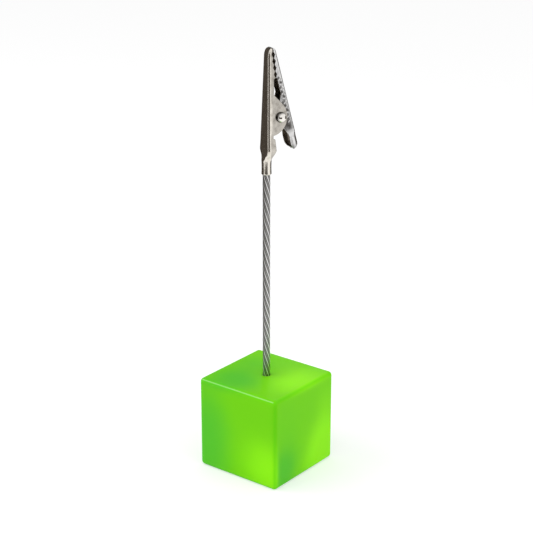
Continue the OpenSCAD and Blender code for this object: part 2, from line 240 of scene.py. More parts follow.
@dataclass(frozen=True)
class ResinFinish:
    """Frosted, translucent lime resin: soft brighter and deeper patches of painted glow and shade, and a
    satin skin.
    """

    body: tuple = linear(120, 219, 12)
    # Colours of painted light: bright for painted glow, deep for painted shade, rim for a darker edge line,
    # and the next for a thin highlight line.
    bright: tuple = linear(152, 253, 18)
    deep: tuple = linear(89, 203, 44)
    rim: tuple = linear(84, 214, 10)
    painted_light: tuple = linear(182, 243, 146)
    roughness: float = 0.42
    clouding: float = 0.25
    rim_share: float = 0.5
    painted_highlight_share: float = 0.65
    graining: float = 0.10
    blotching: float = 0.08
    painted_highlight_gloss: float = 0.12
    # Where the painted glow patches lie, then where the painted shade patches lie.
    glows: tuple[PaintedLightPatch, ...] = (
        PaintedLightPatch((11.0, -12.7, 5.5), (9.5, 1.6, 9.0), 0.8),
        PaintedLightPatch((12.7, 9.0, 6.0), (1.6, 8.0, 7.5), 1.1),
        PaintedLightPatch((12.7, 9.0, 0.5), (1.6, 10.0, 4.0), 0.5),
        PaintedLightPatch((12.7, 10.0, 18.0), (1.6, 6.0, 8.0), 0.3),
        PaintedLightPatch((9.0, 2.0, 25.4), (7.5, 9.5, 1.6), 0.85),
        PaintedLightPatch((-8.0, 12.7, 6.0), (8.0, 1.6, 7.0), 0.8),
        PaintedLightPatch((-12.7, 6.0, 15.0), (1.6, 8.0, 8.0), 0.6),
    )
    shades: tuple[PaintedLightPatch, ...] = (
        PaintedLightPatch((-9.5, -12.7, 8.0), (7.3, 1.6, 18.0), 0.9),
        PaintedLightPatch((12.7, -9.0, 4.0), (1.6, 6.0, 6.0), 0.95),
        PaintedLightPatch((12.7, -8.5, 15.0), (1.6, 7.0, 14.0), 0.22),
        PaintedLightPatch((-4.5, -7.5, 25.4), (8.0, 6.5, 1.6), 0.95),
        PaintedLightPatch((-7.0, 4.0, 25.4), (6.5, 6.0, 1.6), 0.5),
        PaintedLightPatch((5.0, 12.7, 14.0), (8.0, 1.6, 10.0), 0.6),
        PaintedLightPatch((-12.7, -7.0, 6.0), (1.6, 7.0, 8.0), 0.7),
    )

    def material(self) -> bpy.types.Material:
        """Build the material.

        Returns:
            The finished material.
        """
        made = bpy.data.materials.new("frosted_lime_resin")
        graph = Graph(made)
        spot = graph.place()
        cloud = graph.noise(spot, (0.09, 0.09, 0.09), 3.0) - 0.5
        grain = graph.noise(spot, (5.0, 5.0, 5.0), 3.0)
        blotch = graph.noise(spot, (0.6, 0.6, 0.6))
        wave = graph.noise(spot, (0.5, 0.5, 0.5))
        painted_light = graph.mark("painted_light")
        # Painted glow and painted shade: soft patches, with some cloud, that make the resin look lit brighter
        # or dimmer.
        colour = self.body
        layers = ((self.shades, -self.clouding, self.deep), (self.glows, self.clouding, self.bright))
        for painted_patches, clouding, tone in layers:
            patches = (graph.soft_patch(spot, s.centre, s.reach) * s.amount for s in painted_patches)
            colour = graph.mix(sum(patches, clouding * cloud).ramp(0.0, 1.0), colour, tone)
        # Painted light: a darker line along all edges as shade, then a thin highlight line along the upper
        # front edge.
        colour = graph.mix(self.rim_share * graph.mark("edge"), colour, self.rim)
        colour = graph.mix(self.painted_highlight_share * painted_light * grain.ramp(0.1, 0.5), colour, self.painted_light)
        rough = self.roughness + self.graining * (grain - 0.5) + self.blotching * (blotch - 0.5)
        inputs = {
            "Base Color": colour,
            "Roughness": rough - self.painted_highlight_gloss * painted_light,
            "Normal": graph.bump(grain + 0.6 * wave, depth=0.02, strength=0.25),
            "IOR": 1.5,
            "Specular IOR Level": 0.10,
            "Subsurface Weight": 0.35,
            "Subsurface Radius": (1.0, 1.0, 0.6),
            "Subsurface Scale": 1.5 * MM,
        }
        graph.principled(inputs, {"subsurface_method": "RANDOM_WALK"})
        return made


@dataclass(frozen=True)
class NickelFinish:
    """Nickel-plated sheet or wire, drawn along its length, duller and painted darker inside as shade,
    polished on its rims.
    """

    name: str
    plate: tuple = linear(226, 220, 210)
    soft_patch: tuple = linear(150, 140, 126)
    # The inside colour and the dark colour below are painted shade: one for the channel's hollow, one laid on
    # where a mark asks.
    inside: tuple = linear(168, 150, 126)
    painted_darkening: tuple = linear(66, 63, 60)
    roughness: float = 0.20
    brushing: float = 0.12
    mottling: float = 0.14
    inner_dulling: float = 0.18
    painted_shade_dulling: float = 0.12
    rim_gloss: float = 0.06

    def material(self) -> bpy.types.Material:
        """Build the material.

        Returns:
            The finished material.
        """
        made = bpy.data.materials.new(self.name)
        graph = Graph(made)
        spot = graph.place()
        drawn = graph.noise(spot, (9.0, 9.0, 0.5), 3.0)
        cloud = graph.noise(spot, (1.1, 1.1, 0.8), 4.0)
        speck = graph.noise(spot, (14.0, 14.0, 14.0), 1.0)
        inner = graph.mark("inner")
        rim = graph.mark("rim")
        painted_light = graph.mark("painted_light")
        dull = (cloud.ramp(0.42, 0.78) * 0.45 + speck.ramp(0.66, 0.8) * 0.25) * (1.0 - rim)
        colour = graph.mix(dull, self.plate, self.soft_patch)
        # Painted shade: darken where marked, then paint the channel's inside darker.
        colour = graph.mix(painted_light * (0.9 + 0.6 * (cloud - 0.5)), colour, self.painted_darkening)
        colour = graph.mix(0.85 * inner, colour, self.inside)
        rough = self.roughness + self.brushing * (drawn - 0.5) + self.mottling * (cloud - 0.45)
        rough = rough + self.inner_dulling * inner + self.painted_shade_dulling * painted_light - self.rim_gloss * rim
        grain = graph.bump(drawn * 0.7 + speck * 0.3, depth=0.006, strength=0.3)
        graph.principled({"Base Color": colour, "Roughness": rough, "Metallic": 1.0, "Normal": grain})
        return made


@dataclass(frozen=True)
class RopeFinish:
    """Drawn steel wire, painted bright and shaded by turns, with painted shade in the grooves between wires.
    """

    name: str = "rope_steel"
    bright: tuple = linear(248, 247, 246)
    dark: tuple = linear(156, 154, 152)
    # Colour of the painted shade in the grooves between wires.
    painted_shade: tuple = linear(22, 21, 20)
    roughness: float = 0.34

    def material(self) -> bpy.types.Material:
        """Build the material.

        Returns:
            The finished material.
        """
        made = bpy.data.materials.new(self.name)
        graph = Graph(made)
        spot = graph.place()
        cloud = graph.noise(spot, (0.9, 0.9, 0.5), 3.0)
        fine = graph.noise(spot, (11.0, 11.0, 3.0), 2.0)
        tone = graph.mark("tone")
        groove = graph.mark("groove")
        # Painted shade: every second wire darker, and the grooves between wires dark.
        colour = graph.mix((tone + 0.5 * (cloud - 0.5)).ramp(0.0, 1.0), self.bright, self.dark)
        colour = graph.mix(groove * (0.85 + 0.15 * fine), colour, self.painted_shade)
        rough = self.roughness + 0.12 * (fine - 0.5) + 0.10 * (cloud - 0.5) + 0.25 * groove
        skin = graph.bump(fine, depth=0.006, strength=0.35)
        graph.principled({"Base Color": colour, "Roughness": rough, "Metallic": 1.0, "Normal": skin})
        return made


# Meshes


def grid_faces(rows: int, columns: int) -> list:
    """Quads between neighbouring rows of a grid whose rows are closed loops.

    Args:
        rows: Number of loops.
        columns: Points in each loop.

    Returns:
        Four point numbers for each face.
    """
    start = np.arange(rows - 1)[:, None] * columns
    here = np.arange(columns)[None, :]
    there = (here + 1) % columns
    corners = [start + here, start + there, start + columns + there, start + columns + here]
    return np.stack(corners, axis=-1).reshape(-1, 4).tolist()


def closed_faces(rows: int, columns: int) -> list:
    """The quads of such a grid, with its first and its last loop filled in."""
    ends = [list(range(columns)), list(range((rows - 1) * columns, rows * columns))]
    return grid_faces(rows, columns) + ends


def circle_angles(sides: int) -> np.ndarray:
    """Angles of evenly spaced points round a circle, in radians."""
    return np.linspace(0.0, 2 * np.pi, sides, endpoint=False)


def smooth_step(value: np.ndarray, start: float, stop: float) -> np.ndarray:
    """The smooth step f f (3 - 2 f), with f from 0 at the start to 1 at the stop."""
    f = np.clip((start - value) / (start - stop), 0.0, 1.0)
    return f * f * (3 - 2 * f)


def unit(ways: np.ndarray) -> np.ndarray:
    """The same directions at unit length."""
    return ways / np.linalg.norm(ways, axis=-1, keepdims=True)


def turned(points: np.ndarray, degrees: float, plane: tuple[int, int]) -> np.ndarray:
    """Turn points in the plane of two axes.

    Args:
        points: Points, three numbers each.
        degrees: Angle from the first axis toward the second.
        plane: Numbers of the two axes.

    Returns:
        The turned points.
    """
    one, two = plane
    angle = math.radians(degrees)
    spin = np.eye(3)
    spin[one, one] = spin[two, two] = math.cos(angle)
    spin[two, one] = math.sin(angle)
    spin[one, two] = -math.sin(angle)
    return points @ spin.T


def make_piece(
    name: str,
    points: np.ndarray,
    faces: list,
    material: bpy.types.Material,
    marks: dict[str, np.ndarray],
    crease: float = 40.0,
) -> bpy.types.Object:
    """Turn arrays into a smooth mesh object at the origin.

    Args:
        name: Name of the object.
        points: Points in millimetres, in any array shape that ends in three numbers.
        faces: Point numbers of each face.
        material: Finish of the piece.
        marks: Numbers for each point that the finish reads, by name.
        crease: Edges sharper than this angle, in degrees, stay crisp.

    Returns:
        The new object, linked to the scene.
    """
    mesh = bpy.data.meshes.new(name)
    mesh.from_pydata(points.reshape(-1, 3) * MM, [], faces)
    for mark, values in marks.items():
        layer = mesh.attributes.new(mark, "FLOAT", "POINT")
        layer.data.foreach_set("value", np.ascontiguousarray(values, dtype=np.float32).ravel())
    work = bmesh.new()
    work.from_mesh(mesh)
    bmesh.ops.remove_doubles(work, verts=work.verts, dist=WELD * MM)
    bmesh.ops.dissolve_degenerate(work, edges=work.edges, dist=WELD * MM)
    bmesh.ops.recalc_face_normals(work, faces=work.faces)
    work.to_mesh(mesh)
    work.free()
    mesh.shade_smooth()
    mesh.set_sharp_from_angle(angle=math.radians(crease))
    mesh.materials.append(material)
    made = bpy.data.objects.new(name, mesh)
    bpy.context.scene.collection.objects.link(made)
    return made


def tube(path: np.ndarray, side: np.ndarray, radius: float, sides: int) -> np.ndarray:
    """Carry a circle along a path: point = path + radius * (cos s * side + sin s * other).

    The direction other is square to the path and to side.

    Args:
        path: Points of the middle line, one row each.
        side: Unit direction in which each circle starts, square to the path.
        radius: Radius of the circle.
        sides: Points round the circle.

    Returns:
        The rings of points.
    """
    other = np.cross(unit(np.gradient(path, axis=0)), side)
    turn = circle_angles(sides)[None, :, None]
    return path[:, None, :] + radius * (np.cos(turn) * side[:, None, :] + np.sin(turn) * other[:, None, :])


def attach(piece: bpy.types.Object, body: Body, nodes: list[str]) -> None:
    """Make a piece ride on a body in place of its solids, and report it.

    Args:
        piece: The finished piece.
        body: The body that carries it.
        nodes: Names of the solids that it stands for.
    """
    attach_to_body(piece, body.value)
    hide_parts(*nodes)
    LOG.info("%s rides on %s: %d faces", piece.name, body.value, len(piece.data.polygons))


# Base and stem


@dataclass
class ResinBase:
    """The resin cube with rounded edges and the blind hole for the stem."""

    size: float = 25.4
    edge_r: float = 1.1
    hole_r: float = 1.03
    hole_depth: float = 12.0
    rim_r: float = 0.25
    rim_drop: float = 1.0
    middle: float = 0.02
    top_ease: float = 0.8
    edge_fade: float = 0.55
    # Width of the painted highlight line along the upper front edge.
    painted_highlight_width: float = 0.035
    finish: ResinFinish = ResinFinish()

    def outline(self) -> tuple[np.ndarray, np.ndarray]:
        """Square outline as points and outward directions: at distance d it is points + d * directions.

        Returns:
            The points on the inner square and their outward directions, round the square once.
        """
        reach = self.size / 2 - self.edge_r
        arc = np.radians(np.linspace(0.0, 90.0, 11))
        run = np.linspace(-1.0, 1.0, 27)[1:-1]
        corner = np.full((len(arc), 2), reach)
        fan = np.stack([np.cos(arc), np.sin(arc)], axis=1)
        side = np.stack([-run * reach, np.full(len(run), reach)], axis=1)
        points = np.concatenate([corner, side])
        ways = np.concatenate([fan, np.tile([[0.0, 1.0]], (len(run), 1))])
        turns = np.radians(np.arange(4) * 90.0)
        spin = np.stack([[np.cos(turns), np.sin(turns)], [-np.sin(turns), np.cos(turns)]]).transpose(2, 0, 1)
        return (points @ spin).reshape(-1, 2), (ways @ spin).reshape(-1, 2)

    def mesh(self) -> tuple[np.ndarray, dict[str, np.ndarray]]:
        """Carry the square outline up the cube's side profile, over the top and down the hole.

        Each loop is points * inset + distance * directions at its own height; the top runs straight from the
        square to the hole's circle, whose rim is a quarter round. The underside and the hole's floor end in a
        small loop at the share middle of their size.

        Returns:
            The loops and two marks: all edges, painted darker as shade, and the thin painted highlight line
            along the upper front one.
        """
        points, ways = self.outline()
        quarter = np.radians(np.linspace(0.0, 90.0, 19))
        flat = np.linspace(self.middle, 1.0, 12)[:-1]
        rise = np.linspace(self.edge_r, self.size - self.edge_r, 30)[1:-1]
        inset = np.concatenate([flat, np.ones(2 * len(quarter) + len(rise))])
        out = self.edge_r * np.concatenate([0 * flat, np.sin(quarter), np.ones(len(rise)), np.cos(quarter)])
        loops = inset[:, None, None] * points + out[:, None, None] * ways
        circle = unit(points)
        share = np.linspace(0.0, 1.0, 26)[1:, None, None] ** self.top_ease
        top = (1 - share) * points + share * (self.hole_r + self.rim_r) * circle
        bend = quarter[1:]
        rim = (self.hole_r + self.rim_r * (1 - np.sin(bend[:, None, None]))) * circle
        wall = np.array([1.0, 1.0, self.middle])[:, None, None] * self.hole_r * circle
        plan = np.concatenate([loops, top, rim, wall])
        floor = self.size - self.hole_depth
        levels = [
            0 * flat,
            self.edge_r * (1 - np.cos(quarter)),
            rise,
            self.size - self.edge_r + self.edge_r * np.sin(quarter),
            np.full(len(top), self.size),
            self.size - self.rim_r * (1 - np.cos(bend)),
            [self.size - self.rim_r - self.rim_drop, floor, floor],
        ]
        height = np.broadcast_to(np.concatenate(levels)[:, None, None], (*plan.shape[:2], 1))
        solid = np.concatenate([plan, height], axis=2)
        gaps = np.sort(self.size / 2 - np.abs(solid - [0.0, 0.0, self.size / 2]), axis=2)
        away = np.hypot(solid[:, :, 1] + self.size / 2, solid[:, :, 2] - self.size)
        # Painted light: a thin highlight line along the upper front edge, and a darker line along all edges
        # as shade.
        painted_light = np.exp(-(((away - (math.sqrt(2) - 1) * self.edge_r) / self.painted_highlight_width) ** 2))
        edge = np.exp(-((gaps[:, :, 1] / (self.edge_fade * self.edge_r)) ** 2)) * (1 - painted_light)
        return solid, {"edge": edge, "painted_light": painted_light}

    def build(self) -> None:
        """Make the cube and set it in place of its solid."""
        loops, marks = self.mesh()
        faces = closed_faces(*loops.shape[:2])
        cube = make_piece("resin_cube", loops, faces, self.finish.material(), marks, crease=60.0)
        attach(cube, Body.STAND, ["base_cube"])


@dataclass
class RopeStem:
    """The stiff stem: a wire rope of one core wire, six inner and twelve outer wires."""

    rope_d: float = 2.0
    lay_len: float = 17.0
    low_z: float = 13.4
    length: float = 71.1
    wires_across: int = 5
    wire_gap: float = 0.03
    outer_count: int = 12
    inner_count: int = 6
    sides: int = 16
    waver_out: float = 0.012
    waver_round: float = 0.010
    wobble_step: float = 2.4
    groove_gain: float = 2.0
    groove_edge: float = 0.88
    shaded_wire_tone: float = 0.85
    tone_spread: float = 0.15
    tone_step: float = 0.382
    finish: RopeFinish = RopeFinish()

    def outer_wire(self, turn: float, wobble: float) -> np.ndarray:
        """Carry a circle along a helix that climbs clockwise from above.

        The middle line is (r cos a, r sin a, z) with a = turn - 2 pi z / lay. As real rope does, it wavers: r
        by waver_out * sin(0.9 z + wobble) and a by waver_round * sin(0.55 z + 2.3 wobble).

        Args:
            turn: Angle at which the wire starts, in radians.
            wobble: Phase of the waver, in radians.

        Returns:
            The rings of points, cut level at both ends.
        """
        pitch = self.rope_d / self.wires_across
        climb = np.linspace(0.0, self.length, 210)
        layer = (self.rope_d - pitch) / 2 + self.waver_out * np.sin(0.9 * climb + wobble)
        angle = turn - 2 * np.pi * climb / self.lay_len
        angle += self.waver_round * np.sin(0.55 * climb + 2.3 * wobble)
        outward = np.stack([np.cos(angle), np.sin(angle), 0 * angle], axis=1)
        path = layer[:, None] * outward
        path[:, 2] = self.low_z + climb
        rings = tube(path, outward, (pitch - self.wire_gap) / 2, self.sides)
        rings[0, :, 2] = self.low_z
        rings[-1, :, 2] = self.low_z + self.length
        return rings

    def build(self, nodes: dict[str, bpy.types.Object]) -> None:
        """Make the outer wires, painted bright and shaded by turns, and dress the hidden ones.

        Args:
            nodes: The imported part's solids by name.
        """
        steel = self.finish.material()
        # How deep in the groove between wires each point lies; the finish paints it dark as shade.
        depth = np.clip(self.groove_gain * (self.groove_edge - np.cos(circle_angles(self.sides))), 0.0, 1.0)
        for number in range(1, self.outer_count + 1):
            rings = self.outer_wire(2 * math.pi * number / self.outer_count, self.wobble_step * number)
            shape = rings.shape[:2]
            # Painted shade: every second wire gets a darker tone, plus a small tone that differs from wire to
            # wire.
            tone = self.shaded_wire_tone * (number % 2) + self.tone_spread * ((number * self.tone_step) % 1.0)
            marks = {"groove": np.broadcast_to(depth, shape), "tone": np.full(shape, tone)}
            faces = closed_faces(*shape)
            wire = make_piece(f"rope_wire_{number:02d}", rings, faces, steel, marks, crease=60.0)
            attach(wire, Body.STAND, [f"outer_wire_{number:02d}"])
        hidden = ["core_wire", *(f"inner_wire_{n}" for n in range(1, self.inner_count + 1))]
        for name in hidden:
            nodes[name].data.materials.clear()
            nodes[name].data.materials.append(steel)
            LOG.info("%s keeps its solid", name)


# Clip


@dataclass(frozen=True)
class ClipFrame:
    """Where the clip sits; its frame has X along the hinge, Y the way the jaws open and Z up."""

    turn: float = -23.0
    pivot_off: float = 3.0
    pivot_z: float = 95.6

    def place(self, points: np.ndarray) -> np.ndarray:
        """Turn and shift points from the clip's frame to the part's frame."""
        return turned(points + [0.0, self.pivot_off, self.pivot_z], self.turn, (0, 1))


@dataclass(frozen=True)
class Section:
    """Half of a channel's section at every station, as arrays.

    Attributes:
        spine: Back line of the face, Y and Z.
        inward: Direction from the back into the channel, Y and Z.
        edge: Free edge of the side wall, Y and Z.
        half_w: Half of the width over the face.
        bend: Radius of the bend between back and wall.
    """

    spine: np.ndarray
    inward: np.ndarray
    edge: np.ndarray
    half_w: np.ndarray
    bend: np.ndarray

    @property
    def tall(self) -> np.ndarray:
        """Height of the free edge above the back."""
        return np.sum((self.edge - self.spine) * self.inward, axis=1)

    def inset(self, thick: float) -> "Section":
        """The sheet's other face, one thickness further in."""
        spine = self.spine + thick * self.inward
        return Section(spine, self.inward, self.edge, self.half_w - thick, self.bend - thick)


@dataclass(frozen=True)
class Fold:
    """Half of a folded channel: back, bend and side wall, as loops of outer face, rim and inner face."""

    thick: float
    back_steps: int = 6
    bend_steps: int = 8
    wall_steps: int = 22
    rim_cut: float = 0.05

    @property
    def columns(self) -> int:
        """Points on one face, from the middle of the back to the free edge."""
        return self.back_steps + self.bend_steps + self.wall_steps + 1

    @property
    def outer_wall(self) -> slice:
        """Points of the outer face from the last steps of the bend to the free edge."""
        return slice(self.back_steps + self.bend_steps - 2, self.columns)

    def face(self, section: Section) -> tuple[np.ndarray, np.ndarray]:
        """One face of the half channel at every station.

        Across the back the point is (f * (w - r), spine); round the bend by the angle q it is
        (w - r + r sin q, spine + r (1 - cos q) inward); along the wall it runs straight to the free edge.
        Where the free edge lies lower than the bend is high, the bend stops at the edge's height.

        Args:
            section: The half section of this face.

        Returns:
            Sideways distances and Y, Z positions, station by column.
        """
        spine, inward, edge = section.spine, section.inward, section.edge
        half_w, bend, tall = section.half_w, section.bend, section.tall
        last = np.arccos(np.clip(1 - np.clip(tall, 0.0, None) / bend, 0.0, 1.0))
        f = np.linspace(0.0, 1.0, self.back_steps + 1)[None, :]
        back_x = f * (half_w - bend)[:, None]
        q = np.linspace(0.0, 1.0, self.bend_steps + 1)[None, 1:] * last[:, None]
        bend_x = (half_w - bend)[:, None] + bend[:, None] * np.sin(q)
        bend_h = bend[:, None] * (1 - np.cos(q))
        start = spine + bend_h[:, -1:] * inward
        span = edge - start
        size = np.linalg.norm(span, axis=1, keepdims=True)
        keep = np.clip(1 - self.rim_cut / np.maximum(size, 1e-6), 0.0, 1.0)
        g = np.linspace(0.0, 1.0, self.wall_steps + 1)[None, 1:, None] * keep[:, None, :]
        wall = start[:, None, :] + g * np.where(tall > bend, 1.0, 0.0)[:, None, None] * span[:, None, :]
        wall_x = np.repeat(bend_x[:, -1:], self.wall_steps, axis=1)
        back = np.repeat(spine[:, None, :], self.back_steps + 1, axis=1)
        round_ = spine[:, None, :] + bend_h[:, :, None] * inward[:, None, :]
        return np.concatenate([back_x, bend_x, wall_x], axis=1), np.concatenate([back, round_, wall], axis=1)

    def loops(self, section: Section) -> tuple[np.ndarray, np.ndarray]:
        """Outer face, rim and inner face of the half channel as one open run of points at every station.

        Args:
            section: The half section of the outer face.

        Returns:
            Sideways distances and Y, Z positions, station by point.
        """
        out_x, out_p = self.face(section)
        in_x, in_p = self.face(section.inset(self.thick))
        rim_x = np.stack([out_x[:, -1] - self.rim_cut, in_x[:, -1] + self.rim_cut], axis=1)
        has_wall = (section.tall > section.bend)[:, None]
        tip = np.where(has_wall, section.edge, (out_p[:, -1] + in_p[:, -1]) / 2)
        rim_p = np.repeat(tip[:, None, :], 2, axis=1)
        x = np.concatenate([out_x, rim_x, in_x[:, ::-1]], axis=1)
        return x, np.concatenate([out_p, rim_p, in_p[:, ::-1]], axis=1)

    def climb(self) -> np.ndarray:
        """How far up the side wall each point of a half loop lies: 0 at the bend, 1 at the rim.

        Returns:
            One number for each point of the run that loops gives.
        """
        flat = np.zeros(self.back_steps + self.bend_steps + 1)
        one = np.concatenate([flat, np.linspace(0.0, 1.0, self.wall_steps + 1)[1:]])
        return np.concatenate([one, [1.0, 1.0], one[::-1]])

    def whole(self, half: np.ndarray) -> np.ndarray:
        """Close the half loops, station by point by three numbers, with their mirror images."""
        return np.concatenate([half, half[:, ::-1] * [-1.0, 1.0, 1.0]], axis=1)

    def cap(self, station: int) -> list:
        """Faces that close the sheet's end at a station.

        Args:
            station: Number of the loop.

        Returns:
            Quads between the outer and inner face of both halves.
        """
        count = 2 * self.columns + 2
        here = np.arange(self.columns - 1)
        right = np.stack([here, here + 1, count - 2 - here, count - 1 - here], axis=1)
        rim = np.array([[self.columns - 1, self.columns, self.columns + 1, self.columns + 2]])
        one = np.concatenate([right, rim])
        return (np.concatenate([one, 2 * count - 1 - one]) + station * 2 * count).tolist()

    def marks(self, stations: int) -> dict[str, np.ndarray]:
        """Which points of the half loops lie inside the channel and which on its rim.

        Args:
            stations: Number of loops.

        Returns:
            The two marks, station by point.
        """
        inner = np.concatenate([np.zeros(self.columns), [0.0, 0.4], np.ones(self.columns)])
        rim = np.zeros(2 * self.columns + 2)
        rim[self.columns - 1 : self.columns + 3] = 1.0
        return {"inner": np.tile(inner, (stations, 1)), "rim": np.tile(rim, (stations, 1))}


@dataclass(frozen=True)
class Bite:
    """The two rows of teeth that meet beside the line that halves the jaws' angle."""

    half_angle: float = 8.2
    gap: float = 0.12
    reach: float = 17.3
    tooth_count: int = 4
    tooth_pitch: float = 1.65
    tooth_depth: float = 0.38
    nose_len: float = 0.7
    sill_gap: float = 0.3

    @property
    def low_z(self) -> float:
        """Height of the toothed edge's lowest corner."""
        return self.reach - self.nose_len - self.tooth_count * self.tooth_pitch

    def line(self, z: np.ndarray | float, shift: float) -> np.ndarray | float:
        """Where the tips of the teeth lie at a height, for a row shifted toward the other jaw."""
        return shift - z * math.tan(math.radians(self.half_angle)) - self.gap / 2

    def teeth(self, shift: float) -> np.ndarray:
        """Corners of the toothed edge from the window up to the tip.

        Args:
            shift: How far the row lies toward the other jaw.

        Returns:
            Z and Y of the corners, in rising order of Z.
        """
        steps = np.arange(2 * self.tooth_count + 1)
        z = self.reach - self.nose_len - steps * self.tooth_pitch / 2
        y = self.line(z, shift) - (steps % 2) * self.tooth_depth
        tip = [[self.reach, self.line(self.reach, shift)]]
        return np.concatenate([tip, np.stack([z, y], axis=1)])[::-1]


def rows_through(corners: np.ndarray, low: float, high: float, step: float) -> np.ndarray:
    """Heights of stations: evenly spaced, with every corner of the outline hit.

    Args:
        corners: Z and Y of the outline's corners.
        low: Lowest station.
        high: Highest station.
        step: Spacing between corners.

    Returns:
        Rising heights.
    """
    too_near = 0.3 * step
    even = np.arange(low, high, step)
    named = corners[(corners[:, 0] > low) & (corners[:, 0] < high), 0]
    near = np.abs(even[:, None] - named[None, :]).min(axis=1) < too_near
    return np.unique(np.concatenate([even[~near], named, [low, high]]))


@dataclass
class Jaw:
    """What both jaws share: a folded sheet with a row of teeth, whose back turns over at the tip."""

    finish: NickelFinish
    shift: float
    back: float
    tip_turn: tuple[float, float]
    frame: ClipFrame = ClipFrame()
    bite: Bite = Bite()
    fold: Fold = Fold(SHEET)

    @property
    def lip_y(self) -> float:
        """Where the lip at the tip ends."""
        return self.bite.line(self.bite.reach, self.shift)

    @property
    def turn_z(self) -> float:
        """Height at which the back begins to turn over."""
        return self.bite.reach - self.tip_turn[1]

    def backbone(self, level: np.ndarray) -> tuple[np.ndarray, np.ndarray]:
        """The back: straight at the given heights, over the tip by a quarter ellipse, and forward to the lip.

        With the turn's depth a and height b the ellipse is (a (1 - cos t) - back, reach - b + b sin t), and
        the way into the sheet is (b cos t, -a sin t) at unit length.

        Args:
            level: Heights of the straight part's stations.

        Returns:
            Back line and inward directions, Y and Z for each station.
        """
        deep, tall = self.tip_turn
        t = np.radians(np.linspace(0.0, 90.0, 18))[1:]
        straight = np.stack([np.full(len(level), -self.back), level], axis=1)
        arc = np.stack([deep * (1 - np.cos(t)) - self.back, self.turn_z + tall * np.sin(t)], axis=1)
        lip = np.linspace(deep - self.back, self.lip_y, 5)[1:]
        flat = np.stack([lip, np.full(len(lip), self.bite.reach)], axis=1)
        ways = unit(np.stack([tall * np.cos(t), -deep * np.sin(t)], axis=1))
        forward = np.tile([[1.0, 0.0]], (len(level), 1))
        down = np.tile([[0.0, -1.0]], (len(lip), 1))
        return np.concatenate([straight, arc, flat]), np.concatenate([forward, ways, down])

    def set_in(
        self, half: np.ndarray, caps: list[int], marks: dict[str, np.ndarray], body: Body, node: str
    ) -> None:
        """Close the half loops with their mirror images and set the jaw in place of its solid.

        Args:
            half: Half loops in the clip's frame, station by point by three numbers.
            caps: Stations at which the sheet's end is closed.
            marks: Numbers that the finish reads for each point of the half loops.
            body: The body that carries the jaw.
            node: Name of its solid.
        """
        loops = self.fold.whole(half)
        faces = grid_faces(*loops.shape[:2])
        for station in caps:
            faces += self.fold.cap(station)
        both = {name: np.concatenate([values, values[:, ::-1]], axis=1) for name, values in marks.items()}
        jaw = make_piece(f"clip_{node}", self.frame.place(loops), faces, self.finish.material(), both)
        attach(jaw, body, [node])


